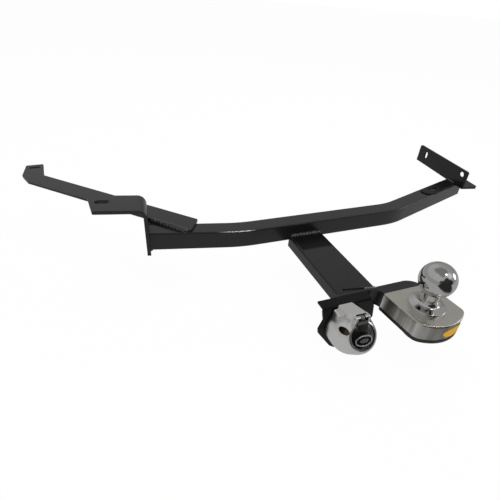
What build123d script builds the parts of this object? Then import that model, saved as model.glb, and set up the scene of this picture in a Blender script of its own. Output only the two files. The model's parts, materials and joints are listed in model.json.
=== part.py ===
from build123d import *
from math import atan2, cos, degrees, pi, radians, sin, sqrt, tan
import os

os.makedirs("parts", exist_ok=True)

# Trailer hitch. Origin: the centre of the tow ball. +X to the right of somebody who stands behind
# the vehicle and looks forward, +Y forward into the vehicle, +Z up. Millimetres.

# Ball and the plate it stands on
ball_diameter = 50.0
ball_above_cap = 47.5
neck_radius = 13.0
collar_radius = 26.0
collar_thick = 5.0
shank_radius = 11.0
shank_play = 0.4
arm_thick = 28.0
washer_thick = 3.0
washer_radius = 20.0
lock_washer_thick = 4.0
lock_washer_radius = 17.0
nut_thick = 18.0
nut_across_flats = 34.0
shank_past_nut = 6.0

# Stainless cap over the plate, and the black trim round its foot. It sits turned on the ball's axis
cap_sheet = 1.3
cap_left = 45.0
cap_right = 39.4
cap_turn = 5.5
cap_shift = 6.0
cap_back_y = 39.8
cap_front = 43.2
cap_height = 26.5
cap_front_radius = 61.0
cap_left_corner = 16.0
cap_right_corner = 8.0
cap_edge_radius = 2.6
cap_to_arm = 0.3
rim_height = 5.3
rim_proud = 0.8
rim_lip = 9.0
rim_screw_radius = 2.0
rim_screw_head_radius = 3.6
rim_screw_length = 12.0
rim_screw_spots = [(-39.0, 20.0), (33.4, 12.0), (0.0, -37.2)]

# Arm: the part of the plate that reaches back to the tongue
arm_back_y = 58.0
arm_right_x = 32.0
arm_heel_x = -62.0

# Tongue: flat rectangular tube
tongue_width = 65.5
tongue_height = 21.4
tongue_wall = 3.0
tongue_corner = 3.0
tongue_left_x = -111.0
tongue_end_y = 60.0
end_plate_thick = 5.4
end_plate_drop = 1.4

# Cross beam: square tube with two gentle bends
beam_size = 32.0
beam_wall = 3.0
beam_corner = 2.6
beam_front_y = 222.6
beam_over_tongue = 7.8
beam_left_bend_x = -198.8
beam_right_bend_x = 120.5
beam_left_angle = 11.9
beam_right_angle = 17.4
beam_left_run = 151.0
beam_right_run = 262.0
beam_left_bend_radius = 240.0
beam_right_bend_radius = 150.0
beam_plug_thick = 3.0

# Left end plate: stands a little askew on the tube's end, its top bent outwards into a slotted tab
left_sheet = 6.0
left_skew = 6.0
left_width = 53.5
left_ahead = 2.4
left_foot_drop = 9.0
tab_rise = 44.0
tab_reach = 81.0
tab_end_skew = 18.0
tab_bend_radius = 14.0
tab_slot_length = 23.0
tab_slot_width = 12.0
tab_slot_out = 70.7
tab_slot_back = 12.6

# Flat bar that runs on from the tube's top to the far left mounting point
hook_sheet = 4.0
hook_angle = 44.3
hook_width = 37.9
hook_front_line = -25.7
hook_start = 372.5
hook_corner_at = 736.5
hook_notch_play = 0.15
hook_tip_lean = 4.7
hook_tip_length = 62.0
hook_tip_width = 32.0
hook_tip_corner = 3.0
hook_turn_corner = 8.0
hook_end_corner = 4.0
hook_slot_length = 22.0
hook_slot_width = 9.0
hook_slot_from_tip = 16.0

# Gusset that closes the corner between the tube's back, the left plate and the bar above
gusset_sheet = 4.0
gusset_length = 32.0
gusset_end_length = 14.0
gusset_deep = 18.5

# Angle bracket on the right end, and the doubler in front of it
angle_sheet = 4.0
angle_rise = 39.5
angle_out = 42.0
angle_length = 184.0
angle_turn = 10.0
angle_near_x = 340.0
angle_near_y = 270.5
far_slot_from_end = 30.0
far_slot_length = 18.0
slot_width = 11.0
near_hole_from_end = 17.0
near_hole_length = 15.0
doubler_sheet = 2.0
doubler_length = 144.0
doubler_back_inset = 4.5
doubler_lip = 2.0
doubler_hole_length = 24.0
doubler_hole_width = 11.0
doubler_hole_from_end = 108.0

# Socket bracket: sheet bent to an L, its leg hanging in front of the tongue's end
bracket_sheet = 3.0
bracket_fold_radius = 3.6
bracket_left_x = -147.0
bracket_right_x = -66.0
bracket_front_y = 37.5
bracket_outline = [(-144.8, -64.0), (-142.6, -72.0), (-148.0, -88.0), (-146.4, -96.5), (-121.0, -131.0),
                   (-111.0, -138.0), (-95.0, -138.0), (-85.0, -131.0), (-58.0, -96.0), (-53.5, -88.0),
                   (-57.5, -66.0), (-61.0, -58.0)]

# Trailer socket: a round shell on the bracket, its mouth facing forward and up
socket_x = -105.0
socket_z = -86.0
gasket_thick = 2.0
gasket_radius = 32.6
shell_radius = 33.0
shell_wall = 3.0
shell_straight = 16.0
shell_depth = 44.0
shell_front_radius = 11.0
mouth_tilt = 33.0
mouth_y = -5.4
mouth_z = -72.3
rim_above_lid = 0.3
collar_rim_radius = 20.6
pocket_radius = 19.3
pocket_depth = 5.2
lid_radius = 18.6
lid_thick = 3.2
lid_crown = 1.2
lid_dome_radius = 70.0
seal_thick = 1.7
seal_width = 2.4
sleeve_radius = 17.8
sleeve_bore = 15.6
sleeve_play = 0.2
insert_end = 33.0
insert_floor = 17.0
insert_back_thick = 5.0
cable_hole_radius = 14.0
contact_circle = 10.6
contact_outer = 2.6
contact_bore = 1.5
contact_front = 11.0
contact_end = 36.0
window_angle = 141.0
window_depth = 28.0
window_length = 17.6
window_width = 9.6
window_lean = 18.0
relief_angle = 144.5
relief_width = 2.2
relief_length = 11.0
relief_deep = 1.8
socket_screw_radius = 2.4
socket_screw_circle = 26.0
socket_screw_angles = [150.0, 30.0, 270.0]

# Lid hinge and spring
ridge_half = 11.4
ridge_back_shift = 8.5
ridge_top_z = -45.1
ridge_front_y = 11.6
cheek_out = 26.5
cheek_top_z = -52.0
cheek_deep = 14.0
hinge_y = 7.0
hinge_z = -48.2
pin_radius = 1.5
pin_play = 0.05
knuckle_radius = 3.5
ear_radius = 3.8
ear_thick = 3.2
side_play = 0.15
emblem_half_width = 14.0
emblem_half_height = 7.8
emblem_thick = 1.2
emblem_ring = 1.8
emblem_floor = 0.4
emblem_field = 0.9
emblem_drop = 5.4
spring_wire = 1.1
spring_radius = 2.9
spring_pitch = 1.75
spring_turns = 3

# Side badge on the cap's front, weld beads and the cable boot
badge_half_width = 20.0
badge_half_height = 8.2
badge_thick = 0.8
badge_angle = 6.5
badge_drop = 14.6
bead = 5.0
hook_weld_inset = 8.0
boot_length = 30.0
boot_wall = 2.5

# Heights that follow from the values above
cap_top_z = -ball_above_cap
arm_top_z = cap_top_z - cap_sheet
arm_bottom_z = arm_top_z - arm_thick
cap_foot_z = cap_top_z - cap_height
rim_foot_z = cap_foot_z - rim_height
tongue_top_z = arm_top_z
tongue_foot_z = tongue_top_z - tongue_height
beam_foot_z = tongue_top_z - beam_over_tongue
beam_top_z = beam_foot_z + beam_size
tongue_right_x = tongue_left_x + tongue_width
tongue_centre_x = tongue_left_x + tongue_width / 2
mount_face_y = bracket_front_y - gasket_thick


def box(x0, x1, y0, y1, z0, z1):
    return Pos((x0 + x1) / 2, (y0 + y1) / 2, (z0 + z1) / 2) * Box(x1 - x0, y1 - y0, z1 - z0)


def upright(x, y, z0, z1, radius):
    return Pos(x, y, (z0 + z1) / 2) * Cylinder(radius, z1 - z0)


def along_y(x, z, y0, y1, radius):
    return Pos(x, (y0 + y1) / 2, z) * Rot(90, 0, 0) * Cylinder(radius, y1 - y0)


def along_x(y, z, x0, x1, radius):
    return Pos((x0 + x1) / 2, y, z) * Rot(0, 90, 0) * Cylinder(radius, x1 - x0)


def plate(points, z0, z1):
    """A flat plate with this outline, seen from above."""
    return Pos(0, 0, z0) * extrude(make_face(Polyline(*points, close=True)), z1 - z0)


def slot_cutter(length, width, depth):
    """A round-ended slot along X, centred on the origin, cut along Z."""
    return extrude(SlotOverall(length, width), depth, both=True)


def save(name, shape):
    export_step(Compound([s.moved(Location()) for s in shape.solids()]) if len(shape.solids()) > 1
                else shape.solids()[0], "parts/" + name + ".step")
    print(name, len(shape.solids()), "solid(s)", round(shape.volume / 1000, 2), "cm3")


# Ball, washers and nut

def make_tow_ball():
    r = ball_diameter / 2
    meet = -sqrt(r * r - neck_radius * neck_radius)
    collar_top = cap_top_z + collar_thick
    end = arm_bottom_z - washer_thick - lock_washer_thick - nut_thick - shank_past_nut
    flare = neck_radius + 6.0
    outline = [
        CenterArc((0, 0), r, 90, -(180 - degrees(atan2(neck_radius, -meet)))),
        Line((neck_radius, meet), (neck_radius, collar_top + 9.0)),
        ThreePointArc((neck_radius, collar_top + 9.0), (neck_radius + 1.8, collar_top + 3.2),
                      (flare, collar_top + 1.0)),
        Line((flare, collar_top + 1.0), (collar_radius - 1.2, collar_top)),
        Line((collar_radius - 1.2, collar_top), (collar_radius, collar_top - 1.2)),
        Line((collar_radius, collar_top - 1.2), (collar_radius, cap_top_z)),
        Line((collar_radius, cap_top_z), (shank_radius, cap_top_z)),
        Line((shank_radius, cap_top_z), (shank_radius, end + 1.5)),
        Line((shank_radius, end + 1.5), (shank_radius - 1.5, end)),
        Line((shank_radius - 1.5, end), (0, end)),
        Line((0, end), (0, r)),
    ]
    face = Plane.XZ * make_face(Wire(outline))
    return revolve(face, Axis.Z, 360)


def make_ball_washer():
    top = arm_bottom_z
    washer = upright(0, 0, top - washer_thick, top, washer_radius)
    return washer - upright(0, 0, top - 9, top + 1, shank_radius + 0.3)


def make_lock_washer():
    top = arm_bottom_z - washer_thick
    ring = upright(0, 0, top - lock_washer_thick, top, lock_washer_radius)
    ring -= upright(0, 0, top - 9, top + 1, shank_radius + 0.3)
    return ring - Rot(0, 0, 20) * box(-1.0, 1.0, 0, 30, top - 9, top + 1)


def make_ball_nut():
    top = arm_bottom_z - washer_thick - lock_washer_thick
    hexagon = RegularPolygon(nut_across_flats / 2, 6, major_radius=False)
    prism = Pos(0, 0, top - nut_thick) * extrude(hexagon, nut_thick)
    crown = Pos(0, 0, top - nut_thick / 2) * Cylinder(nut_across_flats / 2 + 1.6, nut_thick)
    crown = chamfer(crown.edges().filter_by(GeomType.CIRCLE), 1.4)
    return prism & crown - upright(0, 0, top - nut_thick - 1, top + 1, shank_radius)


# Cap, trim and arm

def at_cap():
    """The cap's own frame: turned about the ball's axis."""
    return Rot(0, 0, cap_turn) * Pos(cap_shift, 0, 0)


def cap_outline(inset, back=cap_back_y):
    """Outline of the cap seen from above, moved inwards by the inset: straight sides, one wide front arc."""
    left = -cap_left + inset
    right = cap_right - inset
    radius = cap_front_radius - inset
    centre = cap_front_radius - cap_front
    left_meet = centre - sqrt(radius * radius - left * left)
    right_meet = centre - sqrt(radius * radius - right * right)
    far = 2 * cap_left
    side = make_face(Wire([
        Line((left, far), (left, left_meet)),
        ThreePointArc((left, left_meet), (0, centre - radius), (right, right_meet)),
        Line((right, right_meet), (right, far)),
        Line((right, far), (left, far)),
    ]))
    front_left = side.vertices().filter_by(lambda v: v.Y < far - 1 and v.X < 0)
    side = fillet(front_left, cap_left_corner - inset)
    front_right = side.vertices().filter_by(lambda v: v.Y < far - 1 and v.X > right - 1)
    side = fillet(front_right, max(cap_right_corner - inset, 1.0))
    return at_cap() * side & Pos(0, back - 2 * far) * Rectangle(4 * far, 4 * far)


def make_steel_cap():
    def shell(inset, z0, z1, edge):
        body = Pos(0, 0, z0) * extrude(cap_outline(inset), z1 - z0)
        top_edges = body.edges().filter_by(
            lambda e: abs(e.center().Z - z1) < 0.01 and e.center().Y < cap_back_y - 0.5)
        return fillet(top_edges, edge)

    outer = shell(0, cap_foot_z, cap_top_z, cap_edge_radius)
    inner = shell(cap_sheet, cap_foot_z - 1, cap_top_z - cap_sheet, cap_edge_radius - cap_sheet)
    return outer - inner - upright(0, 0, cap_foot_z, cap_top_z + 1, shank_radius + shank_play)


def rim_screw_places():
    spots = [at_cap() * Pos(x, y, 0) for x, y in rim_screw_spots]
    return [(spot.position.X, spot.position.Y) for spot in spots]


def arm_neck_outline():
    """Plan of the arm behind the cap: it sweeps out to the tongue on the left and rounds off on the right."""
    start = cap_back_y + 0.3
    left = -41.3
    plate_front = tongue_end_y - end_plate_thick
    past_plate = tongue_right_x + 0.2
    return make_face(Wire([
        Line((left, start), (left, start + 1)),
        ThreePointArc((left, start + 1), (left - 4.8, start + 10), (left - 15.5, plate_front)),
        Line((left - 15.5, plate_front), (arm_heel_x, plate_front)),
        Line((arm_heel_x, plate_front), (past_plate, plate_front)),
        Line((past_plate, plate_front), (past_plate, arm_back_y)),
        Line((past_plate, arm_back_y), (6, arm_back_y)),
        ThreePointArc((6, arm_back_y), (23.6, 51.0), (arm_right_x - 1.6, start)),
        Line((arm_right_x - 1.6, start), (left, start)),
    ]))


def make_ball_arm():
    inset = cap_sheet + cap_to_arm
    under_cap = Pos(0, 0, arm_bottom_z) * extrude(cap_outline(inset, cap_back_y + 0.3), arm_thick)
    top_edges = under_cap.edges().filter_by(
        lambda e: abs(e.center().Z - arm_top_z) < 0.01 and e.center().Y < cap_back_y - 1)
    body = fillet(top_edges, cap_edge_radius - cap_sheet + 0.2)
    body -= box(arm_right_x, 2 * cap_right, 28, arm_back_y, arm_bottom_z - 1, arm_top_z + 1)
    body += Pos(0, 0, arm_bottom_z) * extrude(arm_neck_outline(), arm_thick)
    body -= upright(0, 0, arm_bottom_z - 1, arm_top_z + 1, shank_radius + shank_play)
    for x, y in rim_screw_places():
        body -= upright(x, y, arm_bottom_z - 1, arm_bottom_z + rim_screw_length, rim_screw_radius + 0.05)
    return body


def make_cap_rim():
    outer = Pos(0, 0, rim_foot_z) * extrude(cap_outline(-rim_proud), rim_height)
    outer = fillet(outer.edges().filter_by(lambda e: abs(e.center().Z - rim_foot_z) < 0.01), 1.2)
    bore = Pos(0, 0, arm_bottom_z) * extrude(cap_outline(cap_sheet, arm_back_y), arm_thick)
    lip_bore = Pos(0, 0, rim_foot_z - 1) * extrude(cap_outline(cap_sheet + rim_lip, arm_back_y), 12)
    body = outer - bore - lip_bore
    for x, y in rim_screw_places():
        body -= upright(x, y, rim_foot_z - 1, arm_bottom_z + 1, rim_screw_radius + 0.3)
    return body


def make_rim_screws():
    screws = Part()
    for x, y in rim_screw_places():
        stem = upright(x, y, rim_foot_z - 0.01, arm_bottom_z + rim_screw_length - 1, rim_screw_radius)
        head = upright(x, y, rim_foot_z - 2.0, rim_foot_z, rim_screw_head_radius)
        head -= Pos(x, y, rim_foot_z - 2.0) * (Box(1.0, 9.0, 1.6) + Box(9.0, 1.0, 1.6))
        screws += stem + head
    return screws


def make_badge():
    """A bare oval plate on the cap's curved front, right of the middle."""
    skin = Pos(0, 0, cap_foot_z) * extrude(cap_outline(-badge_thick), cap_height)
    skin -= Pos(0, 0, cap_foot_z - 1) * extrude(cap_outline(0), cap_height + 2)
    oval = extrude(Plane.XZ * Ellipse(badge_half_width, badge_half_height), 30)
    arc_centre = at_cap() * Pos(0, cap_front_radius - cap_front, cap_top_z - badge_drop)
    return skin & (arc_centre * Rot(0, 0, badge_angle) * Pos(0, -cap_front_radius + 15, 0) * oval)


# Tongue and end plate

def rounded_tube(width, height, wall, corner, length):
    """A tube along Z with rounded long edges."""
    outer = RectangleRounded(width, height, corner)
    inner = RectangleRounded(width - 2 * wall, height - 2 * wall, max(corner - wall, 0.8))
    return extrude(outer, length) - extrude(inner, length)


def make_tongue():
    length = beam_front_y - tongue_end_y
    tube = rounded_tube(tongue_width, tongue_height, tongue_wall, tongue_corner, length)
    return Pos(tongue_centre_x, tongue_end_y, tongue_top_z - tongue_height / 2) * Rot(-90, 0, 0) * tube


def make_end_plate():
    front = tongue_end_y - end_plate_thick
    foot = tongue_foot_z - end_plate_drop
    return box(tongue_left_x, tongue_right_x, front, tongue_end_y, foot, tongue_top_z)


# Cross beam

beam_axis_y = beam_front_y + beam_size / 2


def beam_stations():
    """Left end, left bend, right bend and right end of the tube's middle line, seen from above."""
    la = radians(beam_left_angle)
    ra = radians(beam_right_angle)
    left = (beam_left_bend_x - beam_left_run * cos(la), beam_axis_y + beam_left_run * sin(la))
    right = (beam_right_bend_x + beam_right_run * cos(ra), beam_axis_y + beam_right_run * sin(ra))
    return left, (beam_left_bend_x, beam_axis_y), (beam_right_bend_x, beam_axis_y), right


def beam_path(z, left_extra):
    left, lb, rb, right = beam_stations()
    la = radians(beam_left_angle)
    ra = radians(beam_right_angle)
    lt = beam_left_bend_radius * tan(la / 2)
    rt = beam_right_bend_radius * tan(ra / 2)
    l0 = (lb[0] - lt * cos(la), lb[1] + lt * sin(la), z)
    l1 = (lb[0] + lt, lb[1], z)
    r0 = (rb[0] - rt, rb[1], z)
    r1 = (rb[0] + rt * cos(ra), rb[1] + rt * sin(ra), z)
    first = Line((left[0] - left_extra * cos(la), left[1] + left_extra * sin(la), z), l0)
    bend_left = TangentArc(l0, l1, tangent=(cos(la), -sin(la), 0))
    middle = Line(l1, r0)
    bend_right = TangentArc(r0, r1, tangent=(1, 0, 0))
    last = Line(r1, (right[0], right[1], z))
    return Wire([first, bend_left, middle, bend_right, last])


def make_cross_beam():
    z = beam_foot_z + beam_size / 2
    extra = 6.0
    path = beam_path(z, extra)
    left = beam_stations()[0]
    la = radians(beam_left_angle)
    start = Plane(origin=(left[0] - extra * cos(la), left[1] + extra * sin(la), z),
                  x_dir=(sin(la), cos(la), 0), z_dir=(cos(la), -sin(la), 0))
    inside = beam_size - 2 * beam_wall
    outer = sweep(start * RectangleRounded(beam_size, beam_size, beam_corner), path=path)
    inner = sweep(start * RectangleRounded(inside, inside, 0.8), path=path)
    return outer - inner - at_left_plate() * box(0, 30, -90, 30, -90, 30)


def at_left_end():
    """Frame on the tube's left end: X outwards, Y across to the front, Z up; origin on its top middle."""
    left = beam_stations()[0]
    la = radians(beam_left_angle)
    return Plane(origin=(left[0], left[1], beam_top_z), x_dir=(-cos(la), sin(la), 0), z_dir=(0, 0, 1))


def at_right_end():
    """Frame on the tube's right end: X outwards, Y across to the back, Z up; origin on its top middle."""
    right = beam_stations()[3]
    ra = radians(beam_right_angle)
    return Plane(origin=(right[0], right[1], beam_top_z), x_dir=(cos(ra), sin(ra), 0), z_dir=(0, 0, 1))


def make_beam_plug():
    half = beam_size / 2
    return at_right_end() * box(0, beam_plug_thick, -half + 0.6, half - 0.6, -beam_size + 0.6, -0.6)


# Left end plate with its tab

def at_left_plate():
    """Frame on the front edge of the left plate's inner face: X outwards, Y across to the front, Z up."""
    return at_left_end() * Pos(0, beam_size / 2 + left_ahead, 0) * Rot(0, 0, left_skew)


def make_left_bracket():
    outer = tab_bend_radius
    inner = outer - left_sheet
    top = tab_rise
    foot = -beam_size - left_foot_drop
    far = tab_reach + left_width
    bend = top - outer
    half = sin(pi / 4)
    side = make_face(Wire([
        Line((0, foot), (0, bend)),
        ThreePointArc((0, bend), (outer * (1 - half), bend + outer * half), (outer, top)),
        Line((outer, top), (far, top)),
        Line((far, top), (far, top - left_sheet)),
        Line((far, top - left_sheet), (outer, top - left_sheet)),
        ThreePointArc((outer, top - left_sheet), (outer - inner * half, bend + inner * half),
                      (left_sheet, bend)),
        Line((left_sheet, bend), (left_sheet, foot)),
        Line((left_sheet, foot), (0, foot)),
    ]))
    front = beam_size / 2 + left_ahead
    body = at_left_plate() * Pos(0, 30, 0) * extrude(Plane.XZ * side, left_width + 60)
    outside = make_face(Polyline((-10, front), (tab_reach, front),
                                 (tab_reach + left_width * tan(radians(tab_end_skew)), front - left_width),
                                 (-10, front - left_width), close=True))
    outside = fillet(outside.vertices().filter_by(lambda v: v.X > 0), 3.0)
    body &= at_left_end() * Pos(0, 0, foot - 1) * extrude(outside, top - foot + 2)
    slot = Pos(tab_slot_out, front - left_ahead - beam_size / 2 - tab_slot_back, top - left_sheet / 2)
    body -= at_left_end() * slot * slot_cutter(tab_slot_length, tab_slot_width, left_sheet)
    return body - hook_shape(hook_notch_play)


# Flat bar to the far left mounting point

def hook_tip(x, y):
    """A point of the bar's turned tip: x runs out to the tip from the inner corner, y across to the left."""
    a = radians(hook_angle)
    lean = radians(hook_tip_lean)
    back = hook_front_line + hook_width
    corner = (-hook_corner_at * cos(a) + back * sin(a), hook_corner_at * sin(a) + back * cos(a))
    return (corner[0] - x * sin(lean) - y * cos(lean), corner[1] + x * cos(lean) - y * sin(lean))


def hook_line(along, across):
    """A point given along the bar and across it, both measured from the ball's axis."""
    a = radians(hook_angle)
    return (-along * cos(a) + across * sin(a), along * sin(a) + across * cos(a))


def hook_shape(grow):
    """The bar: it leaves the tube's top at its angle and turns straight back at the tip."""
    back = hook_front_line + hook_width
    turn = hook_line(hook_corner_at - 1, hook_front_line)
    face = make_face(Wire([
        Line(hook_line(hook_start, hook_front_line), hook_line(hook_start + 9, back)),
        Line(hook_line(hook_start + 9, back), hook_tip(0, 0)),
        Line(hook_tip(0, 0), hook_tip(hook_tip_length, 0)),
        Line(hook_tip(hook_tip_length, 0), hook_tip(hook_tip_length, hook_tip_width)),
        Line(hook_tip(hook_tip_length, hook_tip_width), hook_tip(10, hook_tip_width + 6.5)),
        ThreePointArc(hook_tip(10, hook_tip_width + 6.5), hook_tip(-15, hook_tip_width - 0.5), turn),
        Line(turn, hook_line(hook_start, hook_front_line)),
    ]))
    tip_corners = face.vertices().filter_by(lambda v: v.Y > hook_tip(hook_tip_length - 8, 0)[1])
    face = fillet(tip_corners, hook_tip_corner)
    turn_x, turn_y = hook_tip(10, hook_tip_width + 6.5)
    turn_corner = face.vertices().sort_by_distance((turn_x, turn_y, 0))[0]
    face = fillet(turn_corner, hook_turn_corner)
    end_corners = face.vertices().sort_by(Axis.X)[-2:]
    face = fillet(end_corners, hook_end_corner)
    if grow:
        return Pos(0, 0, beam_top_z - grow) * extrude(offset(face, grow), hook_sheet + 2 * grow)
    return Pos(0, 0, beam_top_z) * extrude(face, hook_sheet)


def make_hook_bar():
    x, y = hook_tip(hook_tip_length - hook_slot_from_tip, hook_tip_width / 2)
    slot = Pos(x, y, beam_top_z + hook_sheet / 2) * Rot(0, 0, hook_tip_lean)
    return hook_shape(0) - slot * slot_cutter(hook_slot_length, hook_slot_width, hook_sheet)


def make_left_gusset():
    """Small plate under the bar, flush with the tube's top: it fills the corner behind the tube."""
    back = -beam_size / 2
    outline = make_face(Polyline((10, back), (-gusset_length, back), (-gusset_end_length, back - gusset_deep),
                                 (10, back - gusset_deep), close=True))
    body = at_left_end() * Pos(0, 0, -gusset_sheet) * extrude(outline, gusset_sheet)
    return body - at_left_plate() * box(0, 30, -90, 30, -90, 30)


# Right angle bracket and doubler

def at_angle():
    """Frame at the near foot of the angle's heel: X outwards, Y along it to the back, Z up."""
    t = radians(angle_turn)
    return Plane(origin=(angle_near_x, angle_near_y, beam_top_z), x_dir=(cos(t), -sin(t), 0), z_dir=(0, 0, 1))


def make_right_angle():
    body = box(0, angle_sheet, 0, angle_length, 0, angle_rise)
    flat = make_face(Polyline((0, 0), (angle_out - 6, 0), (angle_out, 6), (angle_out, angle_length - 6),
                              (angle_out - 6, angle_length), (0, angle_length), close=True))
    body += extrude(flat, angle_sheet)
    corners = body.edges().filter_by(Axis.X).filter_by(lambda e: e.center().Z > angle_rise - 1)
    body = fillet(corners, 4.0)
    far = Pos(0, angle_length - far_slot_from_end, angle_rise * 0.56) * Rot(0, 90, 0)
    near = Pos(0, near_hole_from_end, angle_rise * 0.72) * Rot(0, 90, 0)
    body -= far * slot_cutter(far_slot_length, slot_width, 3 * angle_sheet)
    body -= near * Rot(0, 0, 90) * slot_cutter(near_hole_length, slot_width, 3 * angle_sheet)
    return at_angle() * body


def make_doubler():
    """Plate on the tube's top, from a rounded end up to the angle, with a lip over the front edge."""
    back = beam_size / 2 - doubler_back_inset
    front = 2.0 - beam_size / 2
    lip = -beam_size / 2 - doubler_lip
    start = -doubler_length
    outline = make_face(Wire([
        ThreePointArc((start + 10, front), (start, -2.0), (start + 8, back)),
        Line((start + 8, back), (-20.0, back)),
        Line((-20.0, back), (-20.0, front)),
        Line((-20.0, front), (start + 60, front)),
        Line((start + 60, front), (start + 46, lip)),
        Line((start + 46, lip), (start + 22, lip)),
        Line((start + 22, lip), (start + 10, front)),
    ]))
    hole = Pos(-doubler_hole_from_end, -2, 0) * slot_cutter(doubler_hole_length, doubler_hole_width, 20)
    body = at_right_end() * (extrude(outline, doubler_sheet) - hole)
    return body - at_angle() * box(-0.1, 200, -60, 260, -20, 60)


# Socket bracket

def make_socket_bracket():
    top = tongue_top_z
    foot_line = top - 2 * bracket_sheet
    back = tongue_end_y - end_plate_thick
    flange = box(bracket_left_x, bracket_right_x, bracket_front_y, back, top - bracket_sheet, top)
    skirt_back = bracket_front_y + bracket_sheet
    skirt = box(bracket_left_x, bracket_right_x, bracket_front_y, skirt_back, foot_line, top)
    points = [(bracket_left_x, foot_line)] + bracket_outline + [(bracket_right_x, foot_line)]
    face = make_face(Polyline(*[(x, z) for x, z in points], close=True))
    leg = Pos(0, skirt_back, 0) * extrude(Plane.XZ * face, bracket_sheet)
    body = flange + skirt + leg
    fold = body.edges().filter_by(Axis.X).filter_by(
        lambda e: abs(e.center().Y - bracket_front_y) < 0.01 and abs(e.center().Z - top) < 0.01)
    body = fillet(fold, bracket_fold_radius)
    body -= along_y(socket_x, socket_z, 0, 60, cable_hole_radius)
    for x, z in socket_screw_spots():
        body -= along_y(x, z, 0, 60, socket_screw_radius + 0.3)
    return body


def socket_screw_spots():
    angles = [radians(a) for a in socket_screw_angles]
    return [(socket_x + socket_screw_circle * cos(a), socket_z + socket_screw_circle * sin(a))
            for a in angles]


# Socket

def make_gasket():
    ring = along_y(socket_x, socket_z, mount_face_y, bracket_front_y, gasket_radius)
    ring -= along_y(socket_x, socket_z, 0, 60, cable_hole_radius + 1)
    for x, z in socket_screw_spots():
        ring -= along_y(x, z, 0, 60, socket_screw_radius + 0.3)
    return ring


def turned(points):
    """Solid of revolution round the socket's axis. Points are (radius, depth from the mounting face)."""
    face = Plane.XY * make_face(Polyline(*points, close=True))
    body = revolve(face, Axis.Y, 360)
    return Pos(socket_x, mount_face_y, socket_z) * Rot(0, 0, 180) * body


def dome(radius, depth_full, front_radius, depth, steps):
    """Points of a quarter-oval that falls from the full radius to the front radius."""
    drop = radius - front_radius
    reach = depth - depth_full
    return [(radius - drop * (1 - cos(pi / 2 * k / steps)), depth_full + reach * sin(pi / 2 * k / steps))
            for k in range(steps + 1)]


def at_mouth():
    """Frame at the middle of the lid's front face: Z out of the mouth, Y up along the lid."""
    t = radians(mouth_tilt)
    return Plane(origin=(socket_x, mouth_y, mouth_z), x_dir=(1, 0, 0), z_dir=(0, -cos(t), sin(t)))


def disc(z0, z1, radius):
    return Pos(0, 0, (z0 + z1) / 2) * Cylinder(radius, z1 - z0)


def make_collar():
    """The rounded shoulder round the lid, seen from the mouth."""
    shoulder = [(0, 0), (1.6, 0.6), (3.0, 1.8), (4.6, 4.3), (6.4, 8.3), (7.8, 13.3), (8.4, 18.3), (8.4, 24.3)]
    points = [(collar_rim_radius + out, rim_above_lid - down) for out, down in shoulder]
    profile = make_face(Polyline((0, rim_above_lid), *points, (0, rim_above_lid - 30.0), close=True))
    collar = revolve(Plane.XZ * profile, Axis.Z, 360)
    return at_mouth() * collar


def make_ridge():
    """The block on the shell's top that carries the hinge. It runs back a little to the left."""
    left = socket_x - ridge_half
    right = socket_x + ridge_half
    plan = [(left - ridge_back_shift, mount_face_y), (left, ridge_front_y), (right, ridge_front_y),
            (right - ridge_back_shift, mount_face_y)]
    ridge = plate(plan, socket_z + 12, ridge_top_z)
    middle_y = (ridge_front_y + mount_face_y) / 2
    long_edges = ridge.edges().filter_by(
        lambda e: abs(e.center().Z - ridge_top_z) < 0.01 and abs(e.center().Y - middle_y) < 1)
    ridge = fillet(long_edges, 1.6)
    for side in (-1, 1):
        near = socket_x + side * (ridge_half - ear_thick)
        far = socket_x + side * ridge_half
        x0, x1 = min(near, far), max(near, far)
        ridge += along_x(hinge_y, hinge_z, x0, x1, ear_radius)
        ridge += box(x0, x1, hinge_y, ridge_front_y + 1, hinge_z - ear_radius, ridge_top_z - 0.3)
        ridge += box(x0, x1, hinge_y - 3.2, ridge_front_y + 1, socket_z + 29, hinge_z)
    return ridge


def make_cheek():
    """A lower step on the shell, left of the ridge."""
    left = socket_x - cheek_out
    cheek = box(left, socket_x, mount_face_y - cheek_deep, mount_face_y, socket_z + 12, cheek_top_z)
    top_left = cheek.edges().filter_by(Axis.Y).filter_by(
        lambda e: e.center().Z > cheek_top_z - 1 and e.center().X < left + 1)
    return fillet(top_left, 3.0)


def make_socket_housing():
    outside = dome(shell_radius, shell_straight, shell_front_radius, shell_depth, 10)
    inside = dome(shell_radius - shell_wall, shell_straight, shell_front_radius - shell_wall,
                  shell_depth - shell_wall, 10)
    body = turned([(0, 0), (shell_radius - 0.6, 0), (shell_radius, 1.5)] + outside + [(0, shell_depth)])
    body += make_collar()
    body -= at_mouth() * (Pos(0, 0, rim_above_lid + 40) * Box(200, 58, 80))
    body += make_ridge() + make_cheek()
    body -= turned([(0, -1), (shell_radius - shell_wall, -1)] + inside + [(0, shell_depth - shell_wall)])
    body -= at_mouth() * disc(-pocket_depth, 3, pocket_radius)
    body -= at_mouth() * disc(-insert_end, 3, sleeve_radius + sleeve_play)
    pin_end = ridge_half + 1
    body -= along_x(hinge_y, hinge_z, socket_x - pin_end, socket_x + pin_end, pin_radius + pin_play)
    oval = extrude(Plane.YZ * (Rot(0, 0, window_lean) * Ellipse(window_length / 2, window_width / 2)), 18)
    body -= at_shell(window_angle) * Pos(shell_radius - 12, -window_depth, 0) * oval
    body -= at_shell(relief_angle) * box(shell_radius - relief_deep, shell_radius + 9, -relief_length, 1,
                                         -relief_width / 2, relief_width / 2)
    for x, z in socket_screw_spots():
        body += along_y(x, z, mount_face_y - 12, mount_face_y, socket_screw_radius + 2.2)
    for x, z in socket_screw_spots():
        body -= along_y(x, z, mount_face_y - 11, mount_face_y + 1, socket_screw_radius + 0.05)
    return body


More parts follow.
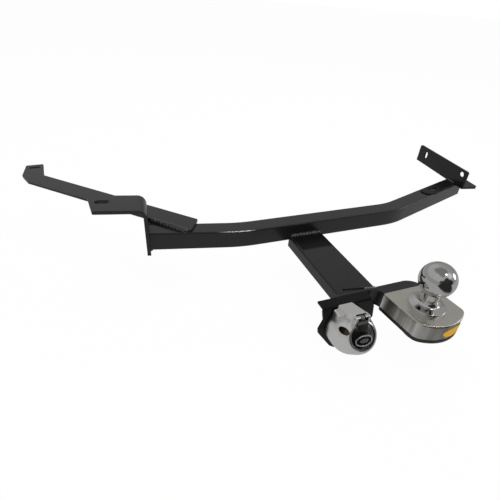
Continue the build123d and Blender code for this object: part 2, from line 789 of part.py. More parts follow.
def at_shell(angle):
    """Frame on the shell's axis at the mounting face: X points out at this angle, Y runs back."""
    return Pos(socket_x, mount_face_y, socket_z) * Rot(0, -angle, 0)


def make_socket_insert():
    """Black insert: a back disc with notches for the screw bosses, and the sleeve that takes the plug."""
    inner_radius = shell_radius - shell_wall - 0.2
    back = along_y(socket_x, socket_z, mount_face_y - insert_back_thick, mount_face_y, inner_radius)
    sleeve = at_mouth() * disc(-insert_end, -pocket_depth - 0.1, sleeve_radius)
    body = back + sleeve
    body -= at_mouth() * disc(-insert_floor, 3, sleeve_bore)
    for x, z in socket_screw_spots():
        body -= along_y(x, z, 0, 60, socket_screw_radius + 2.4)
    for x, y in contact_spots():
        body -= at_mouth() * (Pos(x, y, 0) * disc(-2 * insert_end, 0, contact_outer))
    return body


def contact_spots():
    """Six contacts in a circle and one in the middle."""
    angles = [radians(90 + 60 * k) for k in range(6)]
    return [(contact_circle * cos(a), contact_circle * sin(a)) for a in angles] + [(0, 0)]


def make_contacts():
    contacts = Part()
    for x, y in contact_spots():
        tube = disc(-contact_end, -contact_front, contact_outer) - disc(-contact_end + 8, 0, contact_bore)
        contacts += at_mouth() * (Pos(x, y, 0) * tube)
    return contacts


def make_socket_screws():
    screws = Part()
    head_y = bracket_front_y + bracket_sheet
    for x, z in socket_screw_spots():
        stem = along_y(x, z, mount_face_y - 10, head_y, socket_screw_radius)
        head = along_y(x, z, head_y, head_y + 3.2, socket_screw_radius * 1.9)
        head -= Pos(x, head_y + 3.2, z) * Box(1.2, 2.4, 5.5) + Pos(x, head_y + 3.2, z) * Box(5.5, 2.4, 1.2)
        screws += stem + head
    return screws


def make_cable_boot():
    """Rubber boot on the back of the bracket, with the round inlet where a cable would come in."""
    face_y = bracket_front_y + bracket_sheet
    flange = along_y(socket_x, socket_z, face_y, face_y + 2.5, cable_hole_radius + 3.2)
    neck = Pos(socket_x, face_y + 2.5 + (boot_length - 2.5) / 2, socket_z) * Rot(-90, 0, 0) * Cone(
        cable_hole_radius, 8.0, boot_length - 2.5)
    hollow = Pos(socket_x, face_y + boot_length / 2, socket_z) * Rot(-90, 0, 0) * Cone(
        cable_hole_radius - boot_wall, 8.0 - boot_wall, boot_length + 0.02)
    return flange + neck - hollow


# Lid

def hinge_in_mouth():
    """The hinge's place seen from the mouth: up along the lid, and out from its front face."""
    t = radians(mouth_tilt)
    dy = hinge_y - mouth_y
    dz = hinge_z - mouth_z
    return dy * sin(t) + dz * cos(t), -dy * cos(t) + dz * sin(t)


def lid_dome(grow):
    """Ball whose front is the lid's domed face, or stands out of it by the growth."""
    return Pos(0, 0, lid_crown - lid_dome_radius) * Sphere(lid_dome_radius + grow)


def make_lid():
    up, out = hinge_in_mouth()
    inner = ridge_half - ear_thick - side_play
    plate_part = disc(-lid_thick, lid_crown, lid_radius) & lid_dome(0)
    front_edge = plate_part.edges().filter_by(lambda e: e.center().Z > 0.1 - lid_thick)
    plate_part = fillet(front_edge, 0.8)
    over_rim = rim_above_lid + 0.5
    side = make_face(Polyline(
        (up, out + knuckle_radius), (up - 4.0, out + knuckle_radius - 0.8),
        (lid_radius - 1.0, over_rim + 2.4), (9.0, 2.2), (8.0, 0.6), (8.0, -1.0), (lid_radius - 2.2, -1.0),
        (lid_radius - 1.5, over_rim),
        (up - 3.2, over_rim), (up, out - knuckle_radius), close=True))
    strap = Pos(-inner, 0, 0) * extrude(Plane.YZ * side, 2 * inner)
    lid = at_mouth() * (plate_part + strap)
    lid += along_x(hinge_y, hinge_z, socket_x - inner, socket_x + inner, knuckle_radius)
    well = (spring_turns * spring_pitch + spring_wire) / 2 + 0.8
    lid -= along_x(hinge_y, hinge_z, socket_x - well, socket_x + well, knuckle_radius + 0.35)
    return lid - along_x(hinge_y, hinge_z, socket_x - inner - 1, socket_x + inner + 1, pin_radius + pin_play)


def make_lid_seal():
    """Rubber ring under the lid; it rests on the sleeve's front edge."""
    ring = disc(-lid_thick - seal_thick, -lid_thick, sleeve_radius)
    return at_mouth() * (ring - disc(-lid_thick - seal_thick - 1, 0, sleeve_radius - seal_width))


def make_lid_emblem():
    """A bare oval ring with a plain raised field, where the lid carries its sign."""
    middle = Pos(0, -emblem_drop, -1)
    oval = middle * extrude(Ellipse(emblem_half_width, emblem_half_height), 6)
    inside = middle * extrude(Ellipse(emblem_half_width - emblem_ring, emblem_half_height - emblem_ring), 6)
    field = middle * extrude(Ellipse(emblem_half_width / 2, emblem_half_height / 3), 6)
    ring = (oval - inside) & lid_dome(emblem_thick)
    floor = (inside - field) & lid_dome(emblem_floor)
    raised = field & lid_dome(emblem_field)
    return at_mouth() * (ring + floor + raised - lid_dome(0))


def make_hinge_pin():
    end = ridge_half + 0.6
    pin = along_x(hinge_y, hinge_z, socket_x - end, socket_x + end, pin_radius)
    return chamfer(pin.edges().filter_by(GeomType.CIRCLE), 0.3)


def biarc(p0, t0, p1, t1):
    """Two circular arcs that leave p0 along t0 and reach p1 along t1."""
    v = p1 - p0
    t = t0 + t1
    a = 2 * (1 - t0.dot(t1))
    b = 2 * v.dot(t)
    c = -v.dot(v)
    d = (-b + sqrt(b * b - 4 * a * c)) / (2 * a) if abs(a) > 1e-9 else -c / b
    mid = (p0 + t0 * d + p1 - t1 * d) * 0.5
    return [TangentArc(p0, mid, tangent=t0), TangentArc(mid, p1, tangent=(p1 - t1 * d - mid).normalized())]


def make_lid_spring():
    """Torsion spring round the hinge pin, between the lid's two knuckles."""
    half = spring_turns * spring_pitch / 2
    per_turn = 8
    slope = spring_pitch / (2 * pi * spring_radius)

    def point(k):
        a = 2 * pi * k / per_turn
        return Vector(-half + spring_pitch * k / per_turn, spring_radius * cos(a), spring_radius * sin(a))

    def direction(k):
        a = 2 * pi * k / per_turn
        return Vector(slope, -sin(a), cos(a)).normalized()

    edges = []
    last = spring_turns * per_turn
    for k in range(last):
        edges += biarc(point(k), direction(k), point(k + 1), direction(k + 1))
    lead_in = Line(point(0) - direction(0) * spring_wire, point(0))
    lead_out = Line(point(last), point(last) + direction(last) * spring_wire)
    wire = Wire([lead_in] + edges + [lead_out])
    start = Plane(origin=point(0) - direction(0) * spring_wire, z_dir=direction(0))
    coil = sweep(start * Circle(spring_wire / 2), path=wire)
    print("lid spring: gap between turns", round(spring_pitch - spring_wire, 2), "mm")
    return Pos(socket_x, hinge_y, hinge_z) * coil


# Weld beads

def fillet_bead(length, leg, gap=0.02):
    """A bead along X in the corner between a floor (z = 0) and a wall (y = 0), with a rounded face."""
    face = make_face(Wire([
        Line((gap, gap), (leg, gap)),
        ThreePointArc((leg, gap), (leg * 0.60, leg * 0.60), (gap, leg)),
        Line((gap, leg), (gap, gap)),
    ]))
    return Pos(-length / 2, 0, 0) * extrude(Plane.YZ * face, length)


def make_tongue_weld():
    """Beads between the tongue and the beam's front face: over the top and down both sides."""
    over = Rot(0, 0, 180) * fillet_bead(tongue_width - 2 * tongue_corner - 1, bead)
    return Pos(tongue_centre_x, beam_front_y, tongue_top_z) * over


def make_left_weld():
    """Bead under the tube's left end, against the end plate."""
    bead_under = Rot(180, 0, 90) * fillet_bead(beam_size - 2 * beam_corner, bead)
    return at_left_plate() * (Pos(0, -left_ahead - beam_size / 2, -beam_size) * bead_under)


def hook_meets_plate():
    """How far along the bar its front edge reaches the left plate's inner face."""
    step = 100.0
    to_plate = at_left_plate().inverse()
    near = (to_plate * Pos(*hook_line(hook_start, hook_front_line), 0)).position.X
    far = (to_plate * Pos(*hook_line(hook_start + step, hook_front_line), 0)).position.X
    return hook_start + step * near / (near - far)


def make_hook_weld():
    """Bead along the bar's front edge, on the tube's top and the gusset."""
    first = hook_start + hook_weld_inset
    last = hook_meets_plate() - hook_weld_inset
    x, y = hook_line((first + last) / 2, hook_front_line)
    spot = Pos(x, y, beam_top_z) * Rot(0, 0, 180 - hook_angle)
    return spot * fillet_bead(last - first, bead)


def make_angle_weld():
    """Bead between the angle's upright leaf and the doubler."""
    bead_along = Rot(0, 0, 90) * fillet_bead(22.0, bead * 0.8)
    return at_angle() * (Pos(0, 39.0, doubler_sheet) * bead_along)


def make_arm_weld():
    """Bead on the corner between the arm's back face and the tongue's side."""
    post = Rot(0, 90, 0) * fillet_bead(tongue_height - 2 * tongue_corner, bead * 0.9)
    return Pos(tongue_right_x + 0.2, arm_back_y, tongue_top_z - tongue_height / 2) * Rot(0, 0, 0) * post


def make_bracket_weld():
    """Bead under the bracket's flange, against the tongue's end plate."""
    under = Rot(180, 0, 0) * fillet_bead(30.0, bead * 0.8)
    return Pos(-92.0, tongue_end_y - end_plate_thick, tongue_top_z - bracket_sheet) * under


save("tow_ball", make_tow_ball())
save("ball_washer", make_ball_washer())
save("ball_lock_washer", make_lock_washer())
save("ball_nut", make_ball_nut())
save("steel_cap", make_steel_cap())
save("ball_arm", make_ball_arm())
save("cap_rim", make_cap_rim())
save("rim_screws", make_rim_screws())
save("cap_badge", make_badge())
save("tongue_tube", make_tongue())
save("tongue_end_plate", make_end_plate())
save("cross_beam", make_cross_beam())
save("beam_end_plug", make_beam_plug())
save("left_bracket", make_left_bracket())
save("hook_bar", make_hook_bar())
save("left_gusset", make_left_gusset())
save("right_angle", make_right_angle())
save("top_doubler", make_doubler())
save("socket_bracket", make_socket_bracket())
save("socket_gasket", make_gasket())
save("socket_housing", make_socket_housing())
save("socket_insert", make_socket_insert())
save("contact_tubes", make_contacts())
save("socket_screws", make_socket_screws())
save("cable_boot", make_cable_boot())
save("socket_lid", make_lid())
save("lid_seal", make_lid_seal())
save("lid_emblem", make_lid_emblem())
save("hinge_pin", make_hinge_pin())
save("lid_spring", make_lid_spring())
save("weld_tongue", make_tongue_weld())
save("weld_left_end", make_left_weld())
save("weld_hook_bar", make_hook_weld())
save("weld_right_angle", make_angle_weld())
save("weld_arm", make_arm_weld())
save("weld_bracket", make_bracket_weld())
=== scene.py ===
# %% [markdown]
# # A trailer hitch in Blender
# A trailer hitch is bolted under the back of a vehicle. A painted cross beam carries a flat tongue, and at
# the tongue's end a thick arm with a stainless cap holds the tow ball. A round socket for the trailer's
# lights hangs beside it. The CAD model already has every plate, tube and hole at its real size, so this
# lesson loads it as the frame, gives each piece the finish it has on the real object, and models again only
# what a shape in CAD can't show well: the polished ball, the wound spring, and the weld seams with their
# ripples.

# %% Load the frame
import json
import math

import bmesh
import bpy
from mathutils import Matrix, Vector


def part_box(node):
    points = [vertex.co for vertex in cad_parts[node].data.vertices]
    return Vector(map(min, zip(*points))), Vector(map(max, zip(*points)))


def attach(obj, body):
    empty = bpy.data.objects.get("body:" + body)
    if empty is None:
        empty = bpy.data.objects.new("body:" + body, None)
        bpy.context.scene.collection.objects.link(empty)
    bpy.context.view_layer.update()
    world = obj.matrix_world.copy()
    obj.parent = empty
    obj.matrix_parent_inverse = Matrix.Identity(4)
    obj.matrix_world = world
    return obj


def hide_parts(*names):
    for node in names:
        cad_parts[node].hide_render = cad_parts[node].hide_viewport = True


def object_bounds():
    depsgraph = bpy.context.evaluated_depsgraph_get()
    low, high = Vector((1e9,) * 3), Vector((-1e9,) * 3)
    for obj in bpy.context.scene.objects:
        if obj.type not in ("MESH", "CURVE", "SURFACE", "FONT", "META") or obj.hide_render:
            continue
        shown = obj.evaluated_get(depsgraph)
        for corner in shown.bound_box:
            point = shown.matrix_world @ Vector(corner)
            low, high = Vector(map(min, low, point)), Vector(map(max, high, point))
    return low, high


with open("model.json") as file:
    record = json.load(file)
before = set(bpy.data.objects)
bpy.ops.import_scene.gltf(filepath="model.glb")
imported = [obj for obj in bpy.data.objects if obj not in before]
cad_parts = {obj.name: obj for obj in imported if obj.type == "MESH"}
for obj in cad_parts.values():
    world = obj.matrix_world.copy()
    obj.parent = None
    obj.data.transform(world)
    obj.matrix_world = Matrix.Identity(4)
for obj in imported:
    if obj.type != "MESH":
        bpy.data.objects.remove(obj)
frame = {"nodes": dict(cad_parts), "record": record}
cad_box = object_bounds()
nodes = frame["nodes"]
print("nodes:", len(nodes), "box:", [round(v, 3) for corner in cad_box for v in corner])

# %% [markdown]
# ## The camera
# The photograph looks down on the hitch from behind and to the left, from quite near, so the far ends look
# small. The camera's place, its turn, its pitch and its slight roll were solved from the tube's straight
# edges and the ball's known diameter. A pinhole camera needs only these four and the lens.

# %% Camera
camera_place = (-0.3969, -0.2716, 0.2994)
camera_azimuth = -23.19
camera_elevation = 34.10
camera_roll = 4.47
camera_data = bpy.data.cameras.new("camera")
camera_data.sensor_width = 36.0
camera_data.lens = 26.67
camera = bpy.data.objects.new("camera", camera_data)
bpy.context.scene.collection.objects.link(camera)
turn = Matrix.Rotation(math.radians(camera_azimuth), 4, "Z")
pitch = Matrix.Rotation(math.radians(90 - camera_elevation), 4, "X")
roll = Matrix.Rotation(math.radians(camera_roll), 4, "Z")
camera.matrix_world = Matrix.Translation(camera_place) @ turn @ pitch @ roll
bpy.context.scene.camera = camera
print("lens:", camera_data.lens)

# %% [markdown]
# ## Writing shaders as sums
# A material is a network of small nodes. Joining them by hand hides what they work out, so a small class
# wraps the output of a node, and the usual signs add the Math nodes: `0.4 + 0.1 * grain` is read as it is
# meant.


# %% The socket
class Socket:
    """One output of a shader node, which can be added, subtracted and multiplied like a number."""

    def __init__(self, network, output):
        self.network = network
        self.output = output

    def maths(self, operation, *values):
        """A Math node whose inputs are the values, which are sockets or plain numbers."""
        return self.network.node("ShaderNodeMath", {"operation": operation}, dict(enumerate(values)))

    def __add__(self, other):
        return self.maths("ADD", self, other)

    __radd__ = __add__

    def __sub__(self, other):
        return self.maths("SUBTRACT", self, other)

    def __rsub__(self, other):
        return self.maths("SUBTRACT", other, self)

    def __mul__(self, other):
        return self.maths("MULTIPLY", self, other)

    __rmul__ = __mul__

    def ramp(self, low, high):
        """0 up to low, 1 from high on, and a smooth rise between them."""
        settings = {"interpolation_type": "SMOOTHSTEP"}
        return self.network.node("ShaderNodeMapRange", settings, {0: self, 1: low, 2: high})


print("sockets can be added, subtracted, multiplied and ramped")

# %% [markdown]
# ## A network under construction
# A second class holds the material or the world that the nodes go into. Its first method makes any kind of
# node from its type, its settings, and the values or links of its sockets. The others are what a material
# and the world ask for again and again: noise, a mixed colour, a coordinate, the kind of ray, and how near
# one direction is to another.


# %% The network
class Network:
    """A material or a world under construction."""

    def __init__(self, block, place="Object", output="ShaderNodeOutputMaterial"):
        self.block = block
        self.block.use_nodes = True
        self.tree = block.node_tree
        self.tree.nodes.clear()
        self.output = output
        self.point = self.node("ShaderNodeTexCoord", output=place)

    def node(self, kind, settings=None, sockets=None, output=0):
        """Makes a node and gives back one of its outputs. Its sockets take constants or links."""
        made = self.tree.nodes.new(kind)
        for name, value in (settings or {}).items():
            setattr(made, name, value)
        for name, value in (sockets or {}).items():
            if isinstance(value, Socket):
                self.tree.links.new(value.output, made.inputs[name])
            else:
                made.inputs[name].default_value = value
        return Socket(self, made.outputs[output])

    def surface(self, shader):
        """Joins a shader to the output and gives back the finished material or world."""
        output = self.tree.nodes.new(self.output)
        self.tree.links.new(shader.output, output.inputs["Surface"])
        return self.block

    def stretched(self, scale, turn=(0, 0, 0)):
        """The point, turned and stretched, so that a pattern on it becomes streaks."""
        return self.node("ShaderNodeMapping", {"vector_type": "TEXTURE"},
                         {"Vector": self.point, "Rotation": turn, "Scale": scale})

    def noise(self, scale, detail=2.0, point=None):
        """Cloudy noise from 0 to 1, with about as many clouds to the metre as the scale says."""
        sockets = {"Vector": point or self.point, "Scale": scale, "Detail": detail}
        return self.node("ShaderNodeTexNoise", {}, sockets)

    def mixed(self, amount, first, second):
        """A colour between two others. Math nodes would turn a colour grey, so a Mix node does it."""
        return self.node("ShaderNodeMix", {"data_type": "RGBA"}, {0: amount, 6: first, 7: second}, 2)

    def axis(self, name, vector=None):
        """One coordinate of a vector, the point if none is given."""
        return self.node("ShaderNodeSeparateXYZ", {}, {"Vector": vector or self.point}, name)

    def dot(self, first, second):
        """The dot product of two vectors, as one number."""
        settings = {"operation": "DOT_PRODUCT"}
        return self.node("ShaderNodeVectorMath", settings, {0: first, 1: second}, "Value")

    def aligned(self, direction, vector=None):
        """How well a vector, the point if none is given, points along a direction: 1 where it does."""
        return self.dot(vector or self.point, Vector(direction).normalized())

    def ray(self, kind):
        """1 for one kind of ray and 0 for the others."""
        return self.node("ShaderNodeLightPath", output="Is " + kind + " Ray")

    def shown(self):
        """1 where the camera looks, straight or through something clear."""
        camera_ray = self.ray("Camera")
        return camera_ray.maths("MAXIMUM", camera_ray, self.ray("Transmission"))


print("a Network collects the nodes of one material or world")

# %% [markdown]
# ## The surface of a piece
# Paint, metal and rubber need more than a pattern. No real edge is quite sharp, so edges are softened in the
# shading, and the same softened direction tells where they are, so that wear can be put there. A bump stands
# for the shallow relief of brush lines and grain, and a coat gathers everything in one shader.


# %% The finish
class Finish(Network):
    """The material of a piece."""

    def facing(self):
        """The direction that a face looks in."""
        return self.node("ShaderNodeNewGeometry", output="Normal")

    def rounded(self, radius):
        """The surface's direction with its sharp edges softened by a small radius."""
        return self.node("ShaderNodeBevel", {"samples": 6}, {"Radius": radius})

    def edges(self, radius):
        """1 along the sharp edges and 0 on flat faces: how far the softened direction has turned."""
        return (1.0 - self.dot(self.rounded(radius), self.facing())).ramp(0.02, 0.25)

    def bump(self, height, depth, normal, strength):
        """The softened direction, tilted by a relief whose depth is in metres."""
        sockets = {"Height": height, "Distance": depth, "Normal": normal, "Strength": strength}
        return self.node("ShaderNodeBump", {}, sockets)

    def coat(self, colour, roughness, normal, metallic=0.0, **constants):
        """A Principled shader. Its other inputs are given by name, with a _ for each space."""
        sockets = {"Base Color": colour, "Roughness": roughness, "Metallic": metallic, "Normal": normal}
        sockets.update({name.replace("_", " "): value for name, value in constants.items()})
        return self.node("ShaderNodeBsdfPrincipled", {}, sockets)

    def done(self, *values, **constants):
        """One coat over the whole piece, as a finished material."""
        return self.surface(self.coat(*values, **constants))


def new_finish(name):
    return Finish(bpy.data.materials.new(name))


print("a Finish adds softened edges, bumps and coats")

# %% [markdown]
# ## Colours
# Shaders take linear colours, in which half the light is half the number. Paint, steel and chrome are nearly
# grey, so each of their colours is a grey with its red and its blue shifted a little.


# %% Colours
def tinted(value, red, blue):
    """A linear colour: a grey with its red and its blue raised or lowered."""
    return (value * red, value, value * blue, 1.0)


def grey(value, warm=0.0):
    """A grey, or with some warmth a grey that is a little redder and less blue."""
    return tinted(value, 1 + warm, 1 - warm)


print("a warm grey:", [round(v, 3) for v in grey(0.5, 0.02)])

# %% [markdown]
# ## Black paint
# The steelwork is dipped or sprayed in a black semi-gloss paint. Close up it isn't flat: the paint dries with
# a fine peel like an orange's, its depth varies in broad clouds, and dust settles in small specks. Sharp
# sheet edges hold less paint, so they shine a little more and look a trace lighter.


# %% Black paint
def black_paint(name, shade, shine, edge=0.04, patch=None):
    """Semi-gloss paint. A patch is a function that lays another coat over a part of it."""
    paint = new_finish(name)
    clouds = paint.noise(11.0, 3.0)
    patches = paint.noise(85.0, 4.0)
    peel = paint.noise(1300.0, 2.0)
    specks = paint.noise(520.0, 1.0).ramp(0.69, 0.76)
    worn = paint.edges(0.0011) * patches.ramp(0.42, 0.62)
    colour = paint.mixed(clouds, grey(shade * 0.75, 0.01), grey(shade * 1.35, 0.02))
    colour = paint.mixed(specks * 0.15, colour, grey(0.06, 0.04))
    # With a high edge value, as on the arm, these lighter edges are a painted highlight.
    colour = paint.mixed(worn * 0.25, colour, grey(edge, 0.02))
    roughness = 0.19 + 0.10 * patches + 0.14 * specks - 0.03 * worn
    normal = paint.bump(peel, 0.00008, paint.rounded(0.0007), 0.4)
    coat = paint.coat(colour, roughness, normal, Specular_IOR_Level=shine)
    if patch:
        coat = patch(paint, clouds, normal, coat)
    return paint.surface(coat)


paint = black_paint("black_paint", 0.010, 0.46)
print("made", paint.name)

# %% [markdown]
# ## Coats that differ
# The socket's bracket and the plate by the right angle are painted darker and flatter than the common coat,
# as painted shade, and the right angle a little less dark, also painted shade. The weld seams take a
# glossier coat. The arm's edges are painted light, a painted highlight, and so is the seam at the tongue's
# corner. On the tongue's top next to the cross beam a painted shade darkens and dulls the paint, and the
# beam's rounded edge at its left bend gets a painted highlight. These two are places on one piece, so there a
# mask mixes two coats with a Mix Shader node. The masks are ramps of the coordinates, in metres from the
# middle of the ball, and of the direction that the surface faces.


# %% Painted shade and painted highlight
def painted_beam_shade(paint, clouds, normal, coat):
    """Painted shade on the tongue's top next to the cross beam: the beam's shadow and dark reflection."""
    depth = paint.axis("Y") + 0.004 * (clouds - 0.5)
    # Painted shade: a dark, dull coat mixed in on the tongue's top next to the beam.
    beam_shade_mask = depth.ramp(0.172, 0.180) * paint.axis("X").ramp(-0.109, -0.106)
    tongue_shade_coat = paint.coat(grey(0.004), 0.5, normal, Specular_IOR_Level=0.08)
    return paint.node("ShaderNodeMixShader", {}, {0: beam_shade_mask * 0.85, 1: coat, 2: tongue_shade_coat})


def painted_bend_highlight(paint, clouds, normal, coat):
    """A painted highlight on the beam's rounded edge at its left bend."""
    across = paint.axis("X")
    slope = paint.aligned((0.05, -0.64, 0.77), paint.facing()).ramp(0.86, 0.97)
    span = across.ramp(-0.246, -0.222) * (1.0 - across.ramp(-0.196, -0.174))
    bend_highlight_coat = paint.coat(grey(0.85), 0.3, normal, 1.0)
    return paint.node("ShaderNodeMixShader", {}, {0: slope * span, 1: coat, 2: bend_highlight_coat})


# Painted shade: darker, flatter copies of the black paint for the bracket, the doubler and the right angle.
painted_shade_coat = black_paint("painted_shade_coat", 0.005, 0.12)
angle_shade_coat = black_paint("angle_shade_coat", 0.007, 0.28)
seam_paint = black_paint("seam_paint", 0.014, 1.0, edge=0.10)
# Painted highlight: light paint for the thin seam along the tongue's end by the corner.
corner_highlight_paint = black_paint("corner_highlight_paint", 0.11, 1.0, edge=0.30)
# Painted highlight: the arm's edges are painted light.
arm_edge_highlight_paint = black_paint("arm_edge_highlight_paint", 0.010, 0.46, edge=0.40)
# The tongue's paint carries a painted shade next to the beam.
tongue_paint = black_paint("tongue_paint", 0.009, 0.42, patch=painted_beam_shade)
# The beam's paint carries a painted highlight along its left bend.
beam_paint = black_paint("beam_paint", 0.010, 0.46, patch=painted_bend_highlight)
print("made seven more coats of black paint")

# %% [markdown]
# ## Brushed stainless steel
# The cap is folded from thin stainless sheet that was brushed after it was bent, so fine lines run along it.
# Each line is a long thin bit of noise: the point is stretched over a hundred times more along the stroke
# than across it. The top and the sides were brushed in different directions, and the face's direction picks
# the right set. The lines change the roughness and a very shallow bump, which is what draws reflections out
# across the stroke. The sides are painted darker than the top as painted shade, the rounded front darkest of
# all, and a few upright bands on the sides are painted lighter, as painted reflections.


# %% Brushed steel
def brushed_steel(name, shade, rough):
    steel = new_finish(name)
    facing = steel.facing()
    level = steel.axis("Z", facing).ramp(0.5, 0.8)
    front_shade = steel.aligned((0, -1, 0), facing).ramp(0.2, 0.9)
    along = steel.noise(1.0, 3.0, steel.stretched((0.00045, 0.06, 1.0), (0, 0, math.radians(5.5))))
    around = steel.noise(1.0, 3.0, steel.stretched((0.05, 0.05, 0.00035)))
    lines = level * along + (1.0 - level) * around
    smears = steel.noise(34.0, 3.0)
    scratches = steel.noise(1.0, 1.0, steel.stretched((0.0009, 0.018, 0.018), (0.3, 0.2, 0.7)))
    scratches = scratches.ramp(0.70, 0.74)
    reflection_bands = steel.noise(1.0, 2.0, steel.stretched((0.011, 0.011, 0.5))).ramp(0.48, 0.62)
    # Painted shade: the sides darker than the top, the front darker still; the bands are painted reflections.
    colour = steel.mixed(level, tinted(shade * 0.64, 1.01, 0.93), tinted(shade, 1.03, 0.90))
    colour = steel.mixed(reflection_bands * (1.0 - level) * 0.55, colour, tinted(shade * 1.35, 1.01, 0.97))
    colour = steel.mixed(front_shade * (1.0 - level) * 0.45, colour, grey(shade * 0.1))
    colour = steel.mixed((1.0 - lines) * 0.28, colour, tinted(shade * 0.45, 1.01, 0.92))
    colour = steel.mixed(smears.ramp(0.4, 0.7) * 0.25, colour, tinted(shade * 0.8, 1.04, 0.86))
    roughness = rough + 0.14 * (lines - 0.5) + 0.08 * smears - 0.05 * scratches
    normal = steel.bump(lines + 0.5 * scratches, 0.00003, steel.rounded(0.0004), 0.6)
    return steel.done(colour, roughness, normal, 1.0)


stainless = brushed_steel("stainless", 0.72, 0.27)
print("made", stainless.name)

# %% [markdown]
# ## Polished metal
# The ball and the socket are plated. The ball and the lid are polished, so they show their surroundings and
# their own texture is slight: faint smears where a cloth went over them and hair-fine scratches. The socket's
# shell has a satin plate, which blurs what it reflects. The lid's dark colour is a painted dark reflection,
# and the faces of the lid that look up are painted bright, a painted highlight. One function makes all three,
# because only their shade, their roughness and that painted top differ.


# %% Polished chrome
def polished(name, shade, rough, highlit_top=None):
    """Plated metal. With a highlit top shade, the faces that look up are painted brighter: a painted
    highlight.
    """
    chrome = new_finish(name)
    smears = chrome.noise(48.0, 3.0)
    hairs = chrome.noise(1.0, 1.0, chrome.stretched((0.0004, 0.014, 0.014), (0.5, 0.3, 1.1)))
    hairs = hairs.ramp(0.66, 0.74)
    pits = chrome.noise(900.0, 1.0).ramp(0.74, 0.8)
    colour = chrome.mixed(smears, grey(shade * 0.93, 0.01), grey(shade * 1.05, 0.01))
    # Painted highlight: faces that look up take the brighter shade.
    if highlit_top:
        level = chrome.axis("Z", chrome.facing()).ramp(0.62, 0.80)
        colour = chrome.mixed(level, colour, grey(highlit_top))
    colour = chrome.mixed(pits * 0.3, colour, grey(shade * 0.55, 0.02))
    roughness = rough + 0.05 * smears.ramp(0.45, 0.7) + 0.06 * hairs
    normal = chrome.bump(hairs - pits, 0.00001, chrome.rounded(0.0003), 0.4)
    return chrome.done(colour, roughness, normal, 1.0)


ball_chrome = polished("ball_chrome", 0.62, 0.035)
shell_chrome = polished("shell_chrome", 0.84, 0.28)
# Painted reflection: the lid is painted dark, and its upward faces painted bright.
lid_painted_reflection = polished("lid_painted_reflection", 0.13, 0.10, highlit_top=0.85)
print("made", ball_chrome.name, shell_chrome.name, lid_painted_reflection.name)

# %% [markdown]
# ## The oval on the lid
# The lid carries a bare oval in raised relief. Its ring is painted bright, as a painted reflection, the field
# inside it is satin and painted mid grey, and the hollow between them is painted dark, a painted dark
# reflection like the lid's. No picture is needed to tell them apart: the height over the lid's slightly domed
# face does, so the mask is worked out from the point itself.


# %% The oval on the lid
def oval_relief(name):
    """Satin plate on the raised parts of the lid's oval, painted bright there and painted dark in its hollow.
    """
    mouth = (-0.105, -0.0054, -0.0723)
    outwards = (0, -0.8387, 0.5446)
    dome = 0.070
    lid_face = 0.0012
    relief = new_finish(name)
    sockets = {0: relief.point, 1: mouth}
    from_mouth = relief.node("ShaderNodeVectorMath", {"operation": "SUBTRACT"}, sockets)
    up = relief.dot(from_mouth, outwards)
    over_dome = up - lid_face + relief.dot(from_mouth, from_mouth) * (0.5 / dome)
    field = over_dome.ramp(0.00055, 0.00075)
    ring = over_dome.ramp(0.00095, 0.00115)
    worn = relief.noise(700.0, 2.0)
    colour = relief.mixed(field, grey(0.035), grey(0.38, 0.01))
    colour = relief.mixed(ring, colour, grey(0.86, 0.01))
    colour = relief.mixed(worn.ramp(0.6, 0.8) * 0.3, colour, grey(0.10))
    roughness = 0.40 + 0.12 * worn
    normal = relief.bump(worn, 0.00002, relief.rounded(0.0003), 0.4)
    return relief.done(colour, roughness, normal, 1.0)


emblem_chrome = oval_relief("emblem_chrome")
print("made", emblem_chrome.name)

# %% [markdown]
# ## Zinc and brass
# Zinc plate on the screws, the pin and the spring is duller than chrome. It lies in small crystals, whose
# relief a Voronoi texture draws, and has a mottled straw tint, which comes from noise. The brass contacts
# are warm and a little tarnished, so two other colours in the same finish make them.


# %% Zinc and brass
def plated(name, pale, tint, rough):
    plate = new_finish(name)
    crystals = plate.node("ShaderNodeTexVoronoi", {}, {"Vector": plate.point, "Scale": 900.0}, "Distance")
    mottle = plate.noise(260.0, 3.0)
    edge = plate.edges(0.0005)
    colour = plate.mixed(mottle.ramp(0.35, 0.7), pale, tint)
    colour = plate.mixed(edge * 0.35, colour, grey(0.75))
    roughness = rough + 0.14 * mottle + 0.08 * crystals
    normal = plate.bump(crystals, 0.00004, plate.rounded(0.0003), 0.4)
    return plate.done(colour, roughness, normal, 1.0)


zinc = plated("zinc", (0.52, 0.53, 0.55, 1), (0.58, 0.54, 0.44, 1), 0.24)
brass = plated("brass", (0.55, 0.38, 0.16, 1), (0.38, 0.25, 0.12, 1), 0.26)
print("made", zinc.name, "and", brass.name)

# %% [markdown]
# ## Rubber and plastic
# The gasket, the lid's ring and the boot are rubber: nearly black, dull, with a pale bloom that gathers in
# patches. The beam's plug is moulded black plastic with a fine even grain from the mould, and the socket's
# insert, which shows through the shell's window, is a dark brown one.


# %% Rubber and plastic
def moulded(name, shade, bloom, rough, grain, depth, warm=0.02):
    soft = new_finish(name)
    patches = soft.noise(120.0, 4.0)
    grains = soft.node("ShaderNodeTexVoronoi", {"feature": "SMOOTH_F1"},
                       {"Vector": soft.point, "Scale": grain}, "Distance")
    rubbed = soft.edges(0.0006)
    colour = soft.mixed(patches.ramp(0.45, 0.75) * 0.6, grey(shade, warm), grey(bloom, warm))
    colour = soft.mixed(rubbed * 0.3, colour, grey(bloom * 1.6, warm))
    roughness = rough + 0.12 * patches - 0.1 * rubbed
    normal = soft.bump(grains, depth, soft.rounded(0.0004), 0.6)
    return soft.done(colour, roughness, normal)


